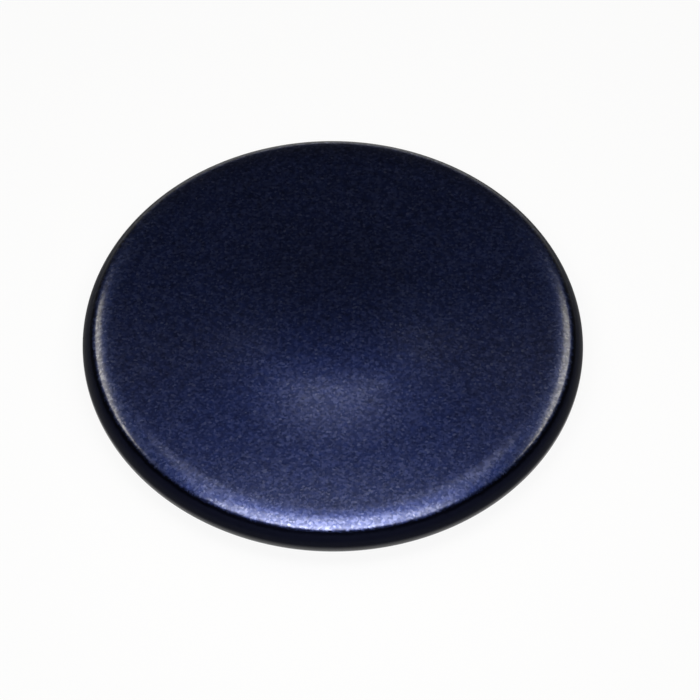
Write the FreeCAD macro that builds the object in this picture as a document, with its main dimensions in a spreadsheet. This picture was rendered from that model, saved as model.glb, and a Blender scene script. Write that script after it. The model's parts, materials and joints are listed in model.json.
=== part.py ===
import FreeCAD, Part
import math
import os
import Sketcher

# Gas burner cap: one enamelled metal casting of revolution. Seen from above it is a round lid with a soft
# dome in the middle, a gently falling land around it, and a full round rim. Below, a flat ring seats on the
# burner head, a locating lip drops into the head's opening, and the middle is hollowed to an even wall.
# Frame: millimetres, +Z up, origin on the axis, level with the foot of the lip.

SIZES = (
    ("cap_diameter", 75.0, "outside of the rim"),
    ("rim_radius", 3.0, "round of the rim, from the shoulder to the widest point"),
    ("rim_lower_radius", 1.6, "round of the rim, from the widest point to the seat"),
    ("shoulder_radius", 12.0, "softer round between land and rim"),
    ("shoulder_angle", 18.0, "degrees the surface has tipped where shoulder and rim meet"),
    ("land_angle", 2.0, "degrees the land falls towards the rim"),
    ("dome_diameter", 45.5, "where the dome's hollow flank meets the land"),
    ("dome_height", 1.55, "middle of the dome above its foot"),
    ("dome_flank_radius", 125.0, "hollow flank of the dome"),
    ("lip_diameter", 56.0, "outside of the locating lip"),
    ("lip_wall", 2.0, "thickness of the lip"),
    ("lip_height", 2.6, "lip below the seat"),
    ("lip_root_radius", 0.5, "fillet between lip and seat"),
    ("lip_edge_radius", 0.5, "both edges of the lip's foot"),
    ("web_thickness", 3.3, "wall at the middle of the dome"),
    ("recess_roof_radius", 205.0, "roof of the hollow"),
    ("recess_corner_radius", 2.0, "fillet between the hollow's wall and roof"),
)

doc = FreeCAD.newDocument("burner_cap")

sheet = doc.addObject("Spreadsheet::Sheet", "Sizes")
for row, (name, value, note) in enumerate(SIZES, start=1):
    sheet.set(f"A{row}", name)
    sheet.set(f"B{row}", str(value))
    sheet.set(f"C{row}", note)
    sheet.setAlias(f"B{row}", name)
doc.recompute()

body = doc.addObject("PartDesign::Body", "burner_cap")
body.Label = "burner_cap"


def start_of(item):
    """The first point of a line or arc, as a sketch names it."""
    return item, 1


def end_of(item):
    """The last point of a line or arc."""
    return item, 2


def centre_of(item):
    """The middle of an arc's circle."""
    return item, 3


def section_sketch(name):
    """An empty sketch on the body's XZ plane: across is the radius, up is the height."""
    sketch = body.newObject("Sketcher::SketchObject", name)
    upright = next(item for item in body.Origin.OriginFeatures if item.Role == "XZ_Plane")
    sketch.AttachmentSupport = [(upright, "")]
    sketch.MapMode = "FlatFace"
    return sketch


def line(sketch, start, end, construction=False):
    """Add a straight line and return its index."""
    a = FreeCAD.Vector(start[0], start[1], 0)
    b = FreeCAD.Vector(end[0], end[1], 0)
    return sketch.addGeometry(Part.LineSegment(a, b), construction)


def arc(sketch, centre, radius, first, last):
    """Add an arc that runs anticlockwise between two angles in degrees, and return its index."""
    middle = FreeCAD.Vector(centre[0], centre[1], 0)
    circle = Part.Circle(middle, FreeCAD.Vector(0, 0, 1), radius)
    return sketch.addGeometry(Part.ArcOfCircle(circle, math.radians(first), math.radians(last)), False)


def join(sketch, one, other):
    """Make two points meet."""
    sketch.addConstraint(Sketcher.Constraint("Coincident", *one, *other))


def blend(sketch, one, other):
    """Make two ends meet and run on smoothly."""
    sketch.addConstraint(Sketcher.Constraint("Tangent", *one, *other))


def on_axis(sketch, point):
    """Hold a point on the axis of the cap, which is the sketch's own upright axis, item -2."""
    sketch.addConstraint(Sketcher.Constraint("PointOnObject", *point, -2))


def dimension(sketch, formula, kind, *what):
    """Add a dimension and bind it to the sheet."""
    index = sketch.addConstraint(Sketcher.Constraint(kind, *what))
    sketch.setExpression(f"Constraints[{index}]", formula)
    return index


def spin(kind, name, sketch):
    """Turn a section once around the axis, to add material or to cut it."""
    feature = body.newObject(kind, name)
    feature.Profile = sketch
    feature.ReferenceAxis = (sketch, ["V_Axis"])
    feature.Angle = 360
    sketch.Visibility = False
    doc.recompute()
    return feature


def ring_edges(feature, radius, height):
    """Names of the circular edges with this radius at this height."""
    found = []
    for number, edge in enumerate(feature.Shape.Edges, start=1):
        if edge.Degenerated or not isinstance(edge.Curve, Part.Circle):
            continue
        if abs(edge.Curve.Radius - radius) < 1e-4 and abs(edge.Curve.Center.z - height) < 1e-4:
            found.append(f"Edge{number}")
    return found


def fillet(name, feature, edges, formula):
    """Round some edges of the last feature."""
    item = body.newObject("PartDesign::Fillet", name)
    item.Base = (feature, edges)
    item.setExpression("Radius", formula)
    doc.recompute()
    return item


# The sketch's own level axis is item -1, and it starts at the origin.
ORIGIN = start_of(-1)

# Starting points for the lid's section, from the same sizes, so that the sketch opens in its true form.
rim = sheet.cap_diameter / 2
rim_round = (rim - sheet.rim_radius, sheet.lip_height + sheet.rim_lower_radius)
tip = math.radians(sheet.shoulder_angle)
fall = math.radians(sheet.land_angle)
reach = sheet.rim_radius - sheet.shoulder_radius
shoulder = (rim_round[0] + reach * math.sin(tip), rim_round[1] + reach * math.cos(tip))
land_end = (
    shoulder[0] + sheet.shoulder_radius * math.sin(fall),
    shoulder[1] + sheet.shoulder_radius * math.cos(fall),
)
foot_across = sheet.dome_diameter / 2
dome_foot = (foot_across, land_end[1] + (land_end[0] - foot_across) * math.tan(fall))
flank_middle = (
    dome_foot[0] + sheet.dome_flank_radius * math.sin(fall),
    dome_foot[1] + sheet.dome_flank_radius * math.cos(fall),
)
apex = dome_foot[1] + sheet.dome_height
# The dome's ball has its centre on the axis and touches the flank's circle from outside, so its radius
# follows from the distance between the two centres.
above = flank_middle[1] - apex
dome_radius = (
    (flank_middle[0] ** 2 + above ** 2 - sheet.dome_flank_radius ** 2)
    / (2 * (sheet.dome_flank_radius - above))
)
dome_middle = (0.0, apex - dome_radius)
dome_tip = math.degrees(math.atan2(flank_middle[0], flank_middle[1] - dome_middle[1]))

# Section of the lid, from the middle of the dome outwards and back along the seat.
lid = section_sketch("lid_section")
dome_arc = arc(lid, dome_middle, dome_radius, 90 - dome_tip, 90)
flank_arc = arc(lid, flank_middle, sheet.dome_flank_radius, 270 - dome_tip, 270 - sheet.land_angle)
land_line = line(lid, dome_foot, land_end)
shoulder_arc = arc(lid, shoulder, sheet.shoulder_radius, 90 - sheet.shoulder_angle, 90 - sheet.land_angle)
rim_arc = arc(lid, rim_round, sheet.rim_radius, 0, 90 - sheet.shoulder_angle)
lower_middle = (rim - sheet.rim_lower_radius, rim_round[1])
lower_arc = arc(lid, lower_middle, sheet.rim_lower_radius, 270, 360)
seat_line = line(lid, (lower_middle[0], sheet.lip_height), (0, sheet.lip_height))
axis_line = line(lid, (0, sheet.lip_height), (0, apex))
tilt_line = line(
    lid,
    rim_round,
    (rim_round[0] + sheet.rim_radius * math.sin(tip), rim_round[1] + sheet.rim_radius * math.cos(tip)),
    construction=True,
)

blend(lid, start_of(dome_arc), start_of(flank_arc))
blend(lid, end_of(flank_arc), start_of(land_line))
blend(lid, end_of(land_line), end_of(shoulder_arc))
blend(lid, start_of(shoulder_arc), end_of(rim_arc))
blend(lid, start_of(rim_arc), end_of(lower_arc))
blend(lid, start_of(lower_arc), start_of(seat_line))
join(lid, end_of(seat_line), start_of(axis_line))
join(lid, end_of(axis_line), end_of(dome_arc))
join(lid, start_of(tilt_line), centre_of(rim_arc))
join(lid, end_of(tilt_line), end_of(rim_arc))
on_axis(lid, end_of(seat_line))
on_axis(lid, end_of(dome_arc))
on_axis(lid, centre_of(dome_arc))
lid.addConstraint(Sketcher.Constraint("Horizontal", seat_line))
lid.addConstraint(Sketcher.Constraint("Horizontal", *centre_of(rim_arc), *start_of(rim_arc)))

dimension(lid, "Sizes.cap_diameter / 2", "DistanceX", *ORIGIN, *start_of(rim_arc), rim)
dimension(lid, "Sizes.lip_height", "DistanceY", *ORIGIN, *end_of(seat_line), sheet.lip_height)
dimension(lid, "Sizes.rim_radius", "Radius", rim_arc, sheet.rim_radius)
dimension(lid, "Sizes.rim_lower_radius", "Radius", lower_arc, sheet.rim_lower_radius)
dimension(lid, "Sizes.shoulder_radius", "Radius", shoulder_arc, sheet.shoulder_radius)
dimension(lid, "90 - Sizes.shoulder_angle", "Angle", tilt_line, math.pi / 2 - tip)
dimension(lid, "-Sizes.land_angle", "Angle", land_line, -fall)
dimension(lid, "Sizes.dome_diameter / 2", "DistanceX", *ORIGIN, *end_of(flank_arc), foot_across)
dimension(lid, "Sizes.dome_height", "DistanceY", *end_of(flank_arc), *end_of(dome_arc), sheet.dome_height)
dimension(lid, "Sizes.dome_flank_radius", "Radius", flank_arc, sheet.dome_flank_radius)
# Measured, not set: the height of the dome's middle, from which the wall below it is counted.
apex_index = lid.addConstraint(Sketcher.Constraint("DistanceY", *ORIGIN, *end_of(dome_arc), apex))
lid.setDriving(apex_index, False)
lid.renameConstraint(apex_index, "apex_height")
doc.recompute()

lid_body = spin("PartDesign::Revolution", "lid", lid)

# Locating lip, standing below the seat.
lip_out = sheet.lip_diameter / 2
lip_in = lip_out - sheet.lip_wall
lip = section_sketch("lip_section")
foot_line = line(lip, (lip_in, 0), (lip_out, 0))
outer_line = line(lip, (lip_out, 0), (lip_out, sheet.lip_height))
root_line = line(lip, (lip_out, sheet.lip_height), (lip_in, sheet.lip_height))
inner_line = line(lip, (lip_in, sheet.lip_height), (lip_in, 0))
join(lip, end_of(foot_line), start_of(outer_line))
join(lip, end_of(outer_line), start_of(root_line))
join(lip, end_of(root_line), start_of(inner_line))
join(lip, end_of(inner_line), start_of(foot_line))
for level in (foot_line, root_line):
    lip.addConstraint(Sketcher.Constraint("Horizontal", level))
for upright_line in (outer_line, inner_line):
    lip.addConstraint(Sketcher.Constraint("Vertical", upright_line))
lip.addConstraint(Sketcher.Constraint("PointOnObject", *start_of(foot_line), -1))
dimension(lip, "Sizes.lip_diameter / 2", "DistanceX", *ORIGIN, *end_of(foot_line), lip_out)
dimension(lip, "Sizes.lip_wall", "DistanceX", *start_of(foot_line), *end_of(foot_line), sheet.lip_wall)
dimension(lip, "Sizes.lip_height", "DistanceY", *start_of(outer_line), *end_of(outer_line), sheet.lip_height)
doc.recompute()

lipped = spin("PartDesign::Revolution", "lip", lip)

# Hollow inside the lip, with a roof that follows the dome.
roof_top = lid.getDatum(apex_index).Value - sheet.web_thickness
roof_tip = math.degrees(math.asin(lip_in / sheet.recess_roof_radius))
roof_middle = (0.0, roof_top - sheet.recess_roof_radius)
wall_top = roof_middle[1] + sheet.recess_roof_radius * math.cos(math.radians(roof_tip))
recess = section_sketch("recess_section")
mouth_line = line(recess, (0, 0), (lip_in, 0))
wall_line = line(recess, (lip_in, 0), (lip_in, wall_top))
roof_arc = arc(recess, roof_middle, sheet.recess_roof_radius, 90 - roof_tip, 90)
middle_line = line(recess, (0, roof_top), (0, 0))
join(recess, end_of(mouth_line), start_of(wall_line))
join(recess, end_of(wall_line), start_of(roof_arc))
join(recess, end_of(roof_arc), start_of(middle_line))
join(recess, end_of(middle_line), start_of(mouth_line))
join(recess, start_of(mouth_line), ORIGIN)
on_axis(recess, end_of(roof_arc))
on_axis(recess, centre_of(roof_arc))
recess.addConstraint(Sketcher.Constraint("Horizontal", mouth_line))
recess.addConstraint(Sketcher.Constraint("Vertical", wall_line))
dimension(
    recess,
    "Sizes.lip_diameter / 2 - Sizes.lip_wall",
    "DistanceX", *ORIGIN, *end_of(mouth_line), lip_in,
)
dimension(
    recess,
    "lid_section.Constraints.apex_height - Sizes.web_thickness * 1 mm",
    "DistanceY", *ORIGIN, *end_of(roof_arc), roof_top,
)
dimension(recess, "Sizes.recess_roof_radius", "Radius", roof_arc, sheet.recess_roof_radius)
doc.recompute()

solid_volume = lipped.Shape.Volume
hollow = spin("PartDesign::Groove", "recess", recess)
assert hollow.Shape.Volume < solid_volume - 1.0, "the hollow cut nothing"

# Rounded edges of the casting.
corner = fillet(
    "recess_corner", hollow, ring_edges(hollow, lip_in, wall_top), "Sizes.recess_corner_radius",
)
root = fillet("lip_root", corner, ring_edges(corner, lip_out, sheet.lip_height), "Sizes.lip_root_radius")
lip_edges = ring_edges(root, lip_out, 0) + ring_edges(root, lip_in, 0)
cap = fillet("lip_edges", root, lip_edges, "Sizes.lip_edge_radius")
body.Tip = cap
doc.recompute()

for item in doc.Objects:
    state = set(item.State)
    assert not state & {"Invalid", "Error"}, f"{item.Name} failed: {item.State}"
assert not body.Shape.isNull() and body.Shape.isValid(), "the cap is not a valid solid"
assert len(body.Shape.Solids) == 1, "the cap is not one solid"

os.makedirs("parts", exist_ok=True)
body.Shape.exportStep(f"parts/{body.Label}.step")

box = body.Shape.optimalBoundingBox(False)
span = f"{box.XLength:.2f} x {box.YLength:.2f} x {box.ZLength:.2f} mm"
print(f"{body.Label}: {span}, {body.Shape.Volume:.0f} mm3")
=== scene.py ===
# %% [markdown]
# # A gas burner cap, turned and enamelled
#
# The cap is the loose lid on a hob burner. It is one casting, round in plan, with a soft dome in the
# middle, a land that falls a little towards a full round rim, and a lip below that centres it on the
# burner head. The measured part is loaded first and is never changed. What is modelled here takes its
# place in the picture, so it has to have the same form, only smoother, and with the enamel that the
# measured part lacks.

# %% Load the measured part
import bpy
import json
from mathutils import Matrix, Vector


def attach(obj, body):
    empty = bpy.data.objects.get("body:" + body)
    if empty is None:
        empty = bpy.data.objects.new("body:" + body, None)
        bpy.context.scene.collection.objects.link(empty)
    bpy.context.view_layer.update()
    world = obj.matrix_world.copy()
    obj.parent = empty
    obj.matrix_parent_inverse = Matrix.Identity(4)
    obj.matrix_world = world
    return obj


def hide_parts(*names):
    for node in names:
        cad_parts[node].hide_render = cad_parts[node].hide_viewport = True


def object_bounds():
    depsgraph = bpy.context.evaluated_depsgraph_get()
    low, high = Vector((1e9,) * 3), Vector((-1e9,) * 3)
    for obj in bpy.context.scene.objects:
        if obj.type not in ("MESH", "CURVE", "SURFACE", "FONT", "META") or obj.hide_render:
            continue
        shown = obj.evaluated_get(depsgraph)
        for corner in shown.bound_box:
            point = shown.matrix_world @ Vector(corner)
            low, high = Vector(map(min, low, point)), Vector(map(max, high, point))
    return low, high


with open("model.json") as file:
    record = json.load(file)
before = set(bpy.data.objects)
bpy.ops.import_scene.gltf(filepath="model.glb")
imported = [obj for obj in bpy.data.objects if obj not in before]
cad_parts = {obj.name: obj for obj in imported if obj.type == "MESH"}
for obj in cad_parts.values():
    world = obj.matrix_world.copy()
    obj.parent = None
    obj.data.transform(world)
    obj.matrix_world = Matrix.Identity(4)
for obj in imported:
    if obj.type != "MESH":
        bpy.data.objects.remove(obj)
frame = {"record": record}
cad_low, cad_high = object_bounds()
print("measured part, lowest and highest corner in metres:", tuple(cad_low), tuple(cad_high))

# %% [markdown]
# ## The section
#
# A round part is known once half of its section is known. It could be traced by eye, but then the rim's
# highlight would wander, because a glossy surface shows every bump in its slope. So the section is drawn
# as on a drawing board: arcs that run into each other without a kink, and straight lines between them.
# The diameter, the height, the lip and the seat are read from the loaded part, and the rest are the
# part's own radii and angles.

# %% Sizes of the section
import json
import math
import bpy
from mathutils import Matrix, Quaternion, Vector

MM = 0.001
mounts = {mount["name"]: mount for mount in frame["record"]["mounts"]}
cap_radius = cad_high.x
apex_height = cad_high.z
lip_radius = mounts["locating_lip"]["dims"]["r_mm"] * MM
seat_height = mounts["seat"]["pos_m"][2]

RIM_ROUND = 3.0 * MM
RIM_LOWER_ROUND = 1.6 * MM
SHOULDER_ROUND = 12.0 * MM
SHOULDER_TIP = math.radians(18.0)
LAND_FALL = math.radians(2.0)
DOME_FOOT = 22.75 * MM
FLANK_ROUND = 125.0 * MM
LIP_WALL = 2.0 * MM
LIP_ROOT_ROUND = 0.5 * MM
LIP_EDGE_ROUND = 0.5 * MM
WEB = 3.3 * MM
ROOF_ROUND = 205.0 * MM
ROOF_CORNER_ROUND = 2.0 * MM
print(f"cap: {2 * cap_radius / MM:.1f} mm across, {apex_height / MM:.2f} mm high")
print(f"lip: {2 * lip_radius / MM:.1f} mm across, below a seat that is {seat_height / MM:.1f} mm up")

# %% [markdown]
# Every arc is described by its tilt, the angle that the surface has turned from level: 0 is a level top,
# 90 degrees is the upright side of the rim, 180 degrees faces down. That way two arcs run on smoothly
# simply because one starts at the tilt where the other ended. A minus radius is a hollow, with its centre
# above.

# %% Drawing helpers
def on_arc(centre, radius, tilt):
    """The point of an arc where the surface has this tilt."""
    return centre[0] + radius * math.sin(tilt), centre[1] + radius * math.cos(tilt)


def arc(centre, radius, first, last, steps):
    """Points along an arc, from one tilt to another."""
    return [on_arc(centre, radius, first + (last - first) * step / steps) for step in range(steps + 1)]


def straight(start, end, steps):
    """Points along a straight line, without its two ends."""
    shares = [step / steps for step in range(1, steps)]
    return [tuple(here + (there - here) * share for here, there in zip(start, end)) for share in shares]


print("helpers: on_arc, arc, straight")

# %% [markdown]
# ## The upper side
#
# The rim comes first, because its place is known: it touches the cap's radius, and its lower round sits
# on the seat's level. The shoulder, the land, the hollow flank and the dome then follow inwards. The dome
# is a ball with its centre on the axis, and its radius follows from touching the flank.

# %% Centres of the upper arcs
rim_level = seat_height + RIM_LOWER_ROUND
rim_middle = (cap_radius - RIM_ROUND, rim_level)
lower_middle = (cap_radius - RIM_LOWER_ROUND, rim_level)
shoulder_middle = on_arc(rim_middle, RIM_ROUND - SHOULDER_ROUND, SHOULDER_TIP)
land_end = on_arc(shoulder_middle, SHOULDER_ROUND, LAND_FALL)
dome_foot = (DOME_FOOT, land_end[1] + (land_end[0] - DOME_FOOT) * math.tan(LAND_FALL))
flank_middle = on_arc(dome_foot, FLANK_ROUND, LAND_FALL)
above = flank_middle[1] - apex_height
dome_round = (flank_middle[0] ** 2 + above ** 2 - FLANK_ROUND ** 2) / (2 * (FLANK_ROUND - above))
dome_middle = (0.0, apex_height - dome_round)
dome_tip = math.atan2(flank_middle[0], flank_middle[1] - dome_middle[1])
print(f"dome: radius {dome_round / MM:.0f} mm, steepest {math.degrees(dome_tip):.1f} degrees")

# %% [markdown]
# The arcs are then walked from the dome's middle outwards and down to the seat. The rim turns most and
# carries the highlights, so it gets the most points. As many points everywhere would only make the mesh
# heavy.

# %% Upper side of the section
UPRIGHT = math.radians(90)
DOME_STEPS = 26
FLANK_STEPS = 20
LAND_STEPS = 8
SHOULDER_STEPS = 16
RIM_STEPS = 44
RIM_LOWER_STEPS = 24

upper_side = arc(dome_middle, dome_round, 0, dome_tip, DOME_STEPS)
upper_side += arc(flank_middle, -FLANK_ROUND, dome_tip, LAND_FALL, FLANK_STEPS)
upper_side += straight(dome_foot, land_end, LAND_STEPS)
upper_side += arc(shoulder_middle, SHOULDER_ROUND, LAND_FALL, SHOULDER_TIP, SHOULDER_STEPS)
upper_side += arc(rim_middle, RIM_ROUND, SHOULDER_TIP, UPRIGHT, RIM_STEPS)
upper_side += arc(lower_middle, RIM_LOWER_ROUND, UPRIGHT, 2 * UPRIGHT, RIM_LOWER_STEPS)
print(f"upper side: {len(upper_side)} points")

# %% [markdown]
# ## The underside
#
# Below, a flat ring seats on the burner head, and a lip drops into its opening. Inside the lip the casting
# is hollow, with a roof that follows the dome so that the wall stays nearly even. Each inner corner has a
# fillet, as a casting has. The roof's corner has to touch both the lip's wall and the arched roof, which
# gives its centre.

# %% Centres of the lower arcs
lip_inner = lip_radius - LIP_WALL
roof_middle = (0.0, apex_height - WEB - ROOF_ROUND)
corner_across = lip_inner - ROOF_CORNER_ROUND
corner_up = math.sqrt((ROOF_ROUND - ROOF_CORNER_ROUND) ** 2 - corner_across ** 2)
corner_middle = (corner_across, roof_middle[1] + corner_up)
roof_tip = math.atan2(corner_across, corner_up)
root_middle = (lip_radius + LIP_ROOT_ROUND, seat_height - LIP_ROOT_ROUND)
outer_edge_middle = (lip_radius - LIP_EDGE_ROUND, LIP_EDGE_ROUND)
inner_edge_middle = (lip_inner + LIP_EDGE_ROUND, LIP_EDGE_ROUND)
print(f"hollow: {2 * lip_inner / MM:.1f} mm across, roof {(apex_height - WEB) / MM:.2f} mm up")

# %% Underside of the section
SEAT_STEPS = 8
LIP_STEPS = 8
CORNER_STEPS = 12
ROOF_STEPS = 24

underside = straight(upper_side[-1], on_arc(root_middle, LIP_ROOT_ROUND, 0), SEAT_STEPS)
underside += arc(root_middle, LIP_ROOT_ROUND, 0, -UPRIGHT, LIP_STEPS)
underside += arc(outer_edge_middle, LIP_EDGE_ROUND, UPRIGHT, 2 * UPRIGHT, LIP_STEPS)
underside += arc(inner_edge_middle, LIP_EDGE_ROUND, 2 * UPRIGHT, 3 * UPRIGHT, LIP_STEPS)
underside += arc(corner_middle, ROOF_CORNER_ROUND, UPRIGHT, roof_tip, CORNER_STEPS)
underside += arc(roof_middle, ROOF_ROUND, roof_tip, 0, ROOF_STEPS)
print(f"underside: {len(underside)} points")

# %% [markdown]
# Where one arc ends the next begins, so such a point comes twice. The second one is dropped, because it
# would become an edge without length.

# %% One string of points
SAME_PLACE = 0.001 * MM
section = upper_side[:1]
for point in upper_side[1:] + underside:
    if math.dist(point, section[-1]) > SAME_PLACE:
        section.append(point)
print(f"section: {len(section)} points, from {section[0]} to {section[-1]}")

# %% [markdown]
# ## Turning the cap
#
# Blender's lathe is Spin. It needs the section as a string of edges, so a small plane is merged to a
# single vertex at the dome's middle, and that vertex is extruded from point to point, as one would click
# it out by hand. Spin then carries the string once around the axis. The first and last points lie on the
# axis, so each leaves a whole ring of vertices in one place: these are merged, and the normals are turned
# to face outwards. A screw modifier would do the same, but Spin leaves plain geometry and nothing to
# apply.

# %% Turn the section
SEGMENTS = 288
bpy.ops.object.select_all(action="DESELECT")
bpy.ops.mesh.primitive_plane_add(size=MM)
cap = bpy.context.object
cap.name = "enamelled_cap"
cap.data.name = "enamelled_cap"

bpy.ops.object.mode_set(mode="EDIT")
bpy.ops.mesh.select_all(action="SELECT")
bpy.ops.mesh.merge(type="CENTER")
bpy.ops.transform.translate(value=(section[0][0], 0, section[0][1]))
for here, there in zip(section, section[1:]):
    step = (there[0] - here[0], 0, there[1] - here[1])
    bpy.ops.mesh.extrude_region_move(TRANSFORM_OT_translate={"value": step})
bpy.ops.mesh.select_all(action="SELECT")
bpy.ops.mesh.spin(steps=SEGMENTS, angle=math.tau, center=(0, 0, 0), axis=(0, 0, 1))
bpy.ops.mesh.select_all(action="SELECT")
bpy.ops.mesh.remove_doubles(threshold=SAME_PLACE)
bpy.ops.mesh.normals_make_consistent(inside=False)
bpy.ops.object.mode_set(mode="OBJECT")
bpy.ops.object.shade_smooth()
print(f"cap: {len(cap.data.vertices)} vertices, {len(cap.data.polygons)} faces")

# %% [markdown]
# ## Shader maths in plain arithmetic
#
# A finish is a sum of patterns, and sums are easier to read as sums than as boxes and wires. This small
# class holds one wire of a material. Adding or multiplying wires adds the Math nodes, and any other node
# comes from one method, which sets the node up first and then feeds its sockets with numbers or with
# other wires.

# %% One wire of a material
class Wire:
    """A value on its way through a material's nodes."""

    def __init__(self, tree, socket=None):
        self.tree = tree
        self.socket = socket

    def node(self, kind, settings, sockets, output=0):
        """Add a node, set it up, feed its sockets, and return the wire of an output, if it has any."""
        made = self.tree.nodes.new(kind)
        for name, value in settings.items():
            setattr(made, name, value)
        for name, value in sockets.items():
            if isinstance(value, Wire):
                self.tree.links.new(value.socket, made.inputs[name])
            else:
                made.inputs[name].default_value = value
        return Wire(self.tree, made.outputs[output]) if made.outputs else None

    def maths(self, operation, first, second):
        """Add a Math node."""
        return self.node("ShaderNodeMath", {"operation": operation}, {0: first, 1: second})

    def __add__(self, other):
        return self.maths("ADD", self, other)

    def __sub__(self, other):
        return self.maths("SUBTRACT", self, other)

    def __rsub__(self, other):
        return self.maths("SUBTRACT", other, self)

    def __mul__(self, other):
        return self.maths("MULTIPLY", self, other)

    __radd__ = __add__
    __rmul__ = __mul__


print("shader maths ready")

# %% A material to start from
def fresh_material(name):
    """An empty material, and a wire to start from."""
    material = bpy.data.materials.new(name)
    material.use_nodes = True
    material.node_tree.nodes.clear()
    return material, Wire(material.node_tree)


enamel, wire = fresh_material("flake_enamel")
print("material:", enamel.name)

# %% [markdown]
# ## The enamel
#
# The finish is a satin enamel that is nearly black in shade and a deep blue where light catches it. It has
# two glosses. The metal flake in the coat scatters a wide blue sheen, so the base is treated as a dark
# blue metal with a fairly rough surface. Over it lies a thin clear glaze, which gives the narrow, almost
# white lines along the rim. A plain diffuse blue would be the easy way, but it would look like chalk
# beside the real thing, and the rim would lose its lines.
#
# Close up the coat is not even. Flakes a few tenths of a millimetre across lie at slightly different
# angles, so the surface is speckled: most flakes are dull, some catch the light, and a few sparkle. Each
# cell of a Voronoi pattern is one flake, and its random number says how it lies. Raised to a power, that
# number is small nearly everywhere and high on a few flakes only. A fine noise adds the grain of the fired
# glass, and a wide one a faint mottle.

# %% Flakes that glint and spark
FLAKE_SIZE = 0.35 * MM
GLINT_POWER = 2
SPARK_POWER = 40

place = wire.node("ShaderNodeTexCoord", {}, {}, "Object")
flake_colour = wire.node(
    "ShaderNodeTexVoronoi", {"feature": "F1"}, {"Vector": place, "Scale": 1 / FLAKE_SIZE}, "Color",
)
lie = wire.node("ShaderNodeSeparateColor", {}, {"Color": flake_colour}, "Red")
glint = wire.maths("POWER", lie, GLINT_POWER)
spark = wire.maths("POWER", lie, SPARK_POWER)
mean_glint = 1 / (GLINT_POWER + 1)
uneven_glint = glint - mean_glint
print(f"flakes: {FLAKE_SIZE / MM:.2f} mm across")

# %% Grain and mottle
GRAIN_SIZE = 0.75 * MM
GRAIN_DETAIL = 2.0
MOTTLE_SIZE = 6.0 * MM
MOTTLE_DETAIL = 3.0
NOISE_MIDDLE = 0.5


def noise(size, detail):
    """A cloudy pattern of this size that swings about zero."""
    cloud = {"Vector": place, "Scale": 1 / size, "Detail": detail}
    return wire.node("ShaderNodeTexNoise", {}, cloud, "Fac") - NOISE_MIDDLE


grain = noise(GRAIN_SIZE, GRAIN_DETAIL)
mottle = noise(MOTTLE_SIZE, MOTTLE_DETAIL)
print(f"grain: {GRAIN_SIZE / MM:.2f} mm, mottle: {MOTTLE_SIZE / MM:.1f} mm")

# %% [markdown]
# The blue is a fifth darker from the shoulder down. Over the side of the rim the colour then turns nearly
# black along a ragged edge and stays so all the way down: this is painted shade, which keeps the side of
# the rim dark instead of mirroring the pale floor. The side of the rim also loses almost all its glaze,
# and its lowest edge and the underside get it back. Each of these masks could be painted on the mesh, but
# height alone gives it, the same all round, and the grain makes the edge ragged. The colour darkens first
# and the metal fades after it, because a pale blue that is only half metal would look chalky.

# %% Where the colour darkens, down to painted shade on the rim's side
SHOULDER_DARKENS = (7.62 * MM, 7.0 * MM)
# Between these two heights the colour turns to painted shade.
PAINTED_SHADE_LEVELS = (7.0 * MM, 6.67 * MM)
METAL_FADES = (6.62 * MM, 6.25 * MM)
GLAZE_RETURNS = (4.9 * MM, 4.1 * MM)
RAGGED_BY = 0.25 * MM
GLINT_IN_EDGE = 0.4

height = wire.node("ShaderNodeSeparateXYZ", {}, {"Vector": place}, "Z")
ragged_height = height + RAGGED_BY * (grain + GLINT_IN_EDGE * uneven_glint)


def below(levels, rise=ragged_height):
    """A mask that grows from 0 at the upper level to 1 at the lower one."""
    return wire.node(
        "ShaderNodeMapRange",
        {"interpolation_type": "SMOOTHSTEP"},
        {"Value": rise, "From Min": levels[0], "From Max": levels[1], "To Min": 0.0, "To Max": 1.0},
    )


# The blue is a fifth darker from the shoulder down.
darker_shoulder = below(SHOULDER_DARKENS, height)
# Painted shade on the side of the rim and everything below it.
painted_rim_shade = below(PAINTED_SHADE_LEVELS)
non_metal = below(METAL_FADES)
unglazed = painted_rim_shade - below(GLAZE_RETURNS, height)
# The print gives where the shoulder starts to darken and where the metal has faded under the painted
# shade.
print(f"flake: thinner below {SHOULDER_DARKENS[0] / MM:.2f} mm, gone below {METAL_FADES[1] / MM:.2f} mm")

# %% [markdown]
# ## Colour of the enamel
#
# All flakes are one deep blue, lighter or darker by the way they lie and by the grain and the mottle. The
# ones that catch the light lean towards silver. Two blues could be mixed instead, but scaling one colour
# keeps its hue, as one pigment does. Below the edge on the side of the rim the colour is painted shade,
# nearly black.

# %% Enamel colour
FLAKE_BLUE = (0.0132, 0.0262, 0.1310, 1.0)
FLAKE_SILVER = (0.44, 0.48, 0.53, 1.0)
# Painted shade: the nearly black colour of the rim's side and the underside.
PAINTED_SHADE_BLACK = (0.0048, 0.0058, 0.0145, 1.0)
GLINT_IN_BLUE = 0.6
GRAIN_IN_BLUE = 0.95
MOTTLE_IN_BLUE = 0.3
SHOULDER_LOSES = 0.2
GLINT_SHARE = 0.042
SPARK_SHARE = 0.05

speckle = 1 + GLINT_IN_BLUE * uneven_glint + GRAIN_IN_BLUE * grain + MOTTLE_IN_BLUE * mottle
blue_scale = speckle * (1 - SHOULDER_LOSES * darker_shoulder)
flaked = wire.node(
    "ShaderNodeVectorMath", {"operation": "SCALE"}, {"Vector": FLAKE_BLUE[:3], "Scale": blue_scale},
)
silver = GLINT_SHARE * glint + SPARK_SHARE * spark
sparkling = wire.node(
    "ShaderNodeMix", {"data_type": "RGBA"}, {"Factor": silver, "A": flaked, "B": FLAKE_SILVER}, "Result",
)
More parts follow.
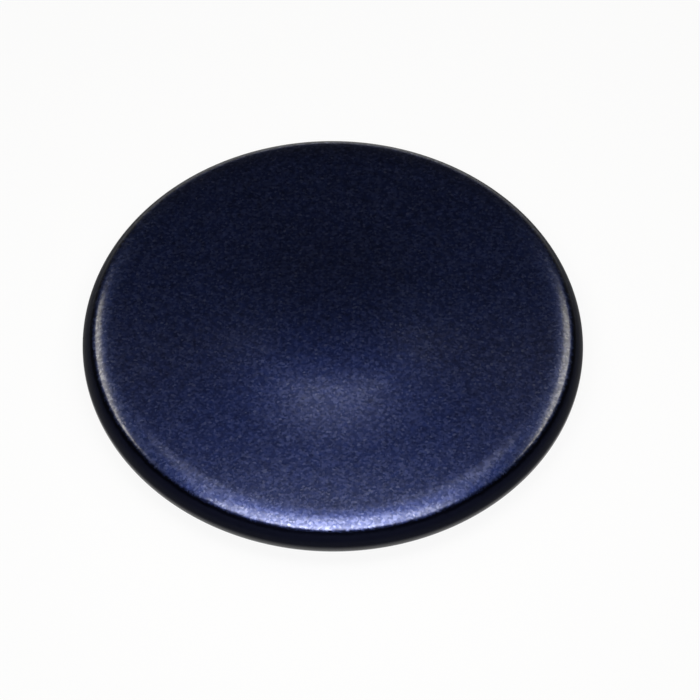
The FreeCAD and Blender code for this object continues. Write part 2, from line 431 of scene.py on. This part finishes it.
# Below the edge on the rim's side the blue gives way to the painted shade.
colour = wire.node(
    "ShaderNodeMix", {"data_type": "RGBA"}, {"Factor": painted_rim_shade, "A": sparkling, "B": PAINTED_SHADE_BLACK}, "Result",
)
# The second colour printed is the painted shade's black.
print("flake blue:", FLAKE_BLUE[:3], "ground black:", PAINTED_SHADE_BLACK[:3])

# %% [markdown]
# ## Gloss and relief
#
# The sheen of the flake is fairly rough, and the zone below the painted shade's edge, where the metal has
# faded, is rougher. The glaze over them differs from flake to flake and is nearly gone on the side of the
# rim, so that the painted shade there stays dark. A relief of about two hundredths of a millimetre breaks
# up the reflections. It could be modelled, but that would take millions of faces for something too fine to
# feel, so a Bump node tilts the light instead.

# %% Enamel gloss and relief
SHEEN_ROUGHNESS = 0.34
NON_METAL_ROUGHNESS = 0.46
GRAIN_IN_ROUGHNESS = 0.05
GLAZE = 0.66
GLINT_IN_GLAZE = 0.8
GLAZE_LOST = 0.97
BUMP_DEPTH = 0.022 * MM
FLAKE_IN_BUMP = 0.12

rougher = NON_METAL_ROUGHNESS - SHEEN_ROUGHNESS
roughness = SHEEN_ROUGHNESS + GRAIN_IN_ROUGHNESS * grain + rougher * non_metal
uneven_glaze = 1 + GLINT_IN_GLAZE * uneven_glint * (1 - non_metal)
glaze = GLAZE * uneven_glaze * (1 - GLAZE_LOST * unglazed)
bumps = grain + FLAKE_IN_BUMP * lie
relief = wire.node("ShaderNodeBump", {}, {"Strength": 1.0, "Distance": BUMP_DEPTH, "Height": bumps})
print(f"relief: {BUMP_DEPTH / MM:.3f} mm deep")

# %% Enamel shader
NON_METAL_GLOSS = 0.03
GLAZE_ROUGHNESS = 0.175
GLAZE_IOR = 1.78

surface = wire.node(
    "ShaderNodeBsdfPrincipled",
    {},
    {
        "Base Color": colour,
        "Metallic": 1 - non_metal,
        "Roughness": roughness,
        "Specular IOR Level": NON_METAL_GLOSS,
        "Coat Weight": glaze,
        "Coat Roughness": GLAZE_ROUGHNESS,
        "Coat IOR": GLAZE_IOR,
        "Normal": relief,
    },
)
wire.node("ShaderNodeOutputMaterial", {}, {"Surface": surface})
cap.data.materials.append(enamel)
print(f"enamel: {len(enamel.node_tree.nodes)} nodes")

# %% [markdown]
# ## Joining the cap to the frame
#
# The cap has no moving parts, so it rides on the only body there is. It stands in for the measured part,
# which stays in the file for the physics but is not drawn.

# %% Tie the cap to the part
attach(cap, "root")
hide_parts("burner_cap")
print("the cap stands for burner_cap")

# %% [markdown]
# ## Floor
#
# The floor is a pale sheet that the cap stands on with its lip. A purely lit floor would grow darker
# towards the corners of the picture, because the main light is close. So what the camera and the
# reflections see is mostly an even white, and the rest is the lit sheet, which carries the cap's shadow.
# The sheet lies a hair below the lip, because two faces in one place show stray patches.

# %% Floor sheet
FLOOR_SIZE = 6.0
FLOOR_GAP = 0.02 * MM
bpy.ops.object.select_all(action="DESELECT")
bpy.ops.mesh.primitive_plane_add(size=FLOOR_SIZE, location=(0, 0, -FLOOR_GAP))
floor = bpy.context.object
floor.name = "floor"
print("floor:", FLOOR_SIZE, "m wide")

# %% Floor material
FLOOR_COLOUR = (0.8, 0.8, 0.8, 1.0)
EVEN_SHARE = 0.93
pale, wire = fresh_material("pale_floor")
seen_directly = wire.node("ShaderNodeLightPath", {}, {}, "Is Camera Ray")
seen_in_gloss = wire.node("ShaderNodeLightPath", {}, {}, "Is Glossy Ray")
seen_through = wire.node("ShaderNodeLightPath", {}, {}, "Is Transmission Ray")
lit = wire.node("ShaderNodeBsdfDiffuse", {}, {"Color": FLOOR_COLOUR})
even = wire.node("ShaderNodeEmission", {}, {"Strength": 1.0})
even_share = EVEN_SHARE * (seen_directly + seen_in_gloss + seen_through)
sheet = wire.node("ShaderNodeMixShader", {}, {0: even_share, 1: lit, 2: even})
wire.node("ShaderNodeOutputMaterial", {}, {"Surface": sheet})
floor.data.materials.append(pale)
print(f"floor material: {EVEN_SHARE:.0%} even white")

# %% [markdown]
# ## Light
#
# One softbox hangs close above the front of the cap. Being close, it meets the near and the far side at
# different angles, and that is what makes the front of the land lighter than the back and picks out the
# low dome. Its mirror image falls on the front of the rim as a bright crescent, and a smaller lamp just
# before it strengthens that. A weaker one straight above carries the light on over the dome. Two long
# strips stand further off, left and right, and draw the thin lines along the sides, and two dim cards
# lift the back of the land. These four are warm, so that on the blue sheen they come out nearly grey. One
# large lamp would be simpler, but the rim would lose its crescent and its lines.

# %% A lamp that faces the cap
def softbox(name, place, size, watts, tint, shape="RECTANGLE"):
    """A lamp at a place in millimetres that faces the cap. Its second size runs from front to back."""
    spot = Vector(place) * MM
    away = (spot - Vector((0, 0, rim_level))).normalized()
    along = (Vector((0, 1, 0)) - away * away.y).normalized()
    across = along.cross(away)
    bpy.ops.object.light_add(type="AREA", location=spot)
    box = bpy.context.object
    box.name = name
    box.rotation_euler = Matrix((across, along, away)).transposed().to_euler()
    box.data.shape = shape
    box.data.size = size[0] * MM
    box.data.size_y = size[1] * MM
    box.data.energy = watts
    box.data.color = tint
    box.visible_camera = False
    print(f"{name}: {watts} W at {place} mm")


print("helper: softbox")

# %% Softboxes above
WHITE = (1.0, 1.0, 1.0)
softbox("key_softbox", place=(-1, -39, 120), size=(125, 66), watts=0.0925, tint=WHITE, shape="ELLIPSE")
softbox("front_softbox", place=(-3, -53, 119), size=(64, 38), watts=0.035, tint=WHITE, shape="ELLIPSE")
softbox("fill_softbox", place=(0, -2, 121), size=(113, 85), watts=0.0243, tint=WHITE)

# %% Strips and cards at the sides
WARM = (1.0, 0.93, 0.68)
STRIP_SIZE = (104, 345)
CARD_SIZE = (60, 50)
softbox("left_strip", place=(-327, 222, 400), size=STRIP_SIZE, watts=0.484, tint=WARM, shape="ELLIPSE")
softbox("left_card", place=(-60, 60, 121), size=CARD_SIZE, watts=0.0006, tint=WARM)
softbox("right_strip", place=(309, 222, 400), size=STRIP_SIZE, watts=0.436, tint=WARM, shape="ELLIPSE")
softbox("right_card", place=(60, 60, 121), size=CARD_SIZE, watts=0.001, tint=WARM)

# %% [markdown]
# The room around is dim, so that the enamel stays nearly black where no lamp is mirrored in it.

# %% Dim room
ROOM = (0.036, 0.036, 0.038, 1.0)
room = bpy.data.worlds.new("dim_room")
room.use_nodes = True
room.node_tree.nodes["Background"].inputs["Color"].default_value = ROOM
bpy.context.scene.world = room
print("room:", ROOM[:3])

# %% [markdown]
# ## Camera
#
# The cap was photographed from above the front, through a long lens. The camera's height above the horizon
# comes from the outline: a circle seen at an angle is an ellipse, and the round rim adds a little to its
# short side. The ellipse leans by a fraction of a degree, so the camera was not quite level. The lens
# follows from the cap's width in the picture, and a small shift puts the cap where it is in the frame.

# %% Camera
PICTURE = 700
MIDDLE = 0.5
CAP_WIDTH_IN_PICTURE = 500.6
CAP_MIDDLE_IN_PICTURE = (332.84, 345.1)
CAMERA_HEIGHT = math.radians(53.93)
CAMERA_ROLL = math.radians(0.39)
CAMERA_DISTANCE = 2.0

towards_camera = Vector((0, -math.cos(CAMERA_HEIGHT), math.sin(CAMERA_HEIGHT)))
aim = Vector((0, 0, rim_level))
bpy.ops.object.camera_add(location=aim + towards_camera * CAMERA_DISTANCE)
camera = bpy.context.object
camera.name = "camera"
level_view = (-towards_camera).to_track_quat("-Z", "Y")
camera.rotation_euler = (level_view @ Quaternion((0, 0, 1), CAMERA_ROLL)).to_euler()
width_of_view = 2 * cap_radius * PICTURE / CAP_WIDTH_IN_PICTURE
camera.data.lens = camera.data.sensor_width * CAMERA_DISTANCE / width_of_view
camera.data.shift_x = MIDDLE - CAP_MIDDLE_IN_PICTURE[0] / PICTURE
camera.data.shift_y = CAP_MIDDLE_IN_PICTURE[1] / PICTURE - MIDDLE
bpy.context.scene.camera = camera
bpy.context.scene.view_settings.view_transform = "Standard"
print(f"lens {camera.data.lens:.0f} mm, shift {camera.data.shift_x:.4f}, {camera.data.shift_y:.4f}")
